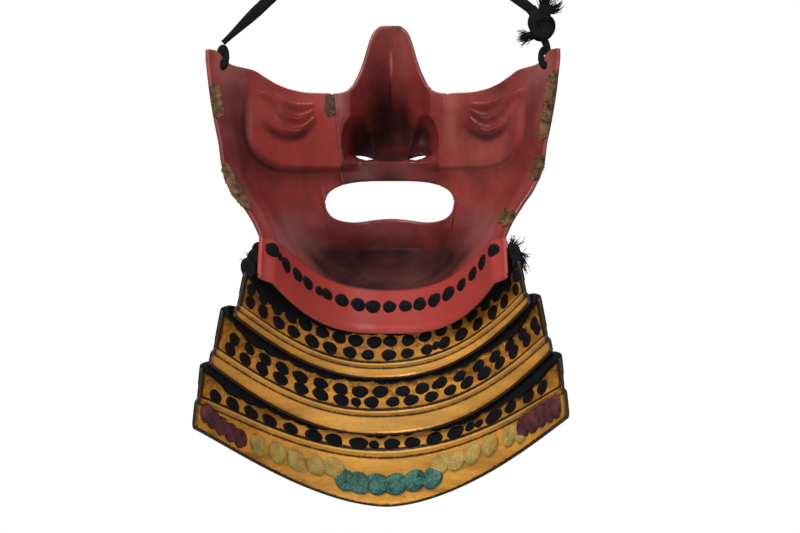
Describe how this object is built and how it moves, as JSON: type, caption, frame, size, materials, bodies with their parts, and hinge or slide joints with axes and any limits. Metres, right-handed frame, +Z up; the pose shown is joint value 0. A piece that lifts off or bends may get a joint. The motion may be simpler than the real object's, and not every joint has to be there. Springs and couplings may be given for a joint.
{
  "type": "samurai face guard",
  "caption": "Red-lacquered iron half mask with a removable nose and a laced throat guard of gilt lames, hung by a flat black cord.",
  "frame": {"origin": "the inner top of the hanging cord's loop, where a nail or hook carries it", "axes": "+X to the wearer's right, +Y the way the face looks, +Z up"},
  "size_m": [0.1728, 0.115, 0.2876],
  "materials": {
    "red_lacquer": "glossy red-brown lacquer on iron",
    "gilt": "worn gilt over lacquer",
    "black_lacing": "blue-black braided silk",
    "purple_silk": "braided silk knots",
    "cream_silk": "braided silk knots",
    "teal_silk": "braided silk knots",
    "black_cord": "matt flat woven cord"
  },
  "bodies": {
    "root": {"face_plate": "red_lacquer", "nose_piece": "red_lacquer", "lame_1": "gilt", "lame_2": "gilt", "lame_3": "gilt", "lacing_1": "black_lacing", "lacing_2": "black_lacing", "lacing_3": "black_lacing", "knots_purple_left": "purple_silk", "knots_cream_left": "cream_silk", "knots_teal": "teal_silk", "knots_cream_right": "cream_silk", "knots_purple_right": "purple_silk", "hanging_cord": "black_cord", "ear_loop_left": "black_cord", "ear_loop_right": "black_cord", "cord_knot": "black_cord", "cord_end_upper": "black_cord", "cord_end_lower": "black_cord"}
  },
  "joints": []
}
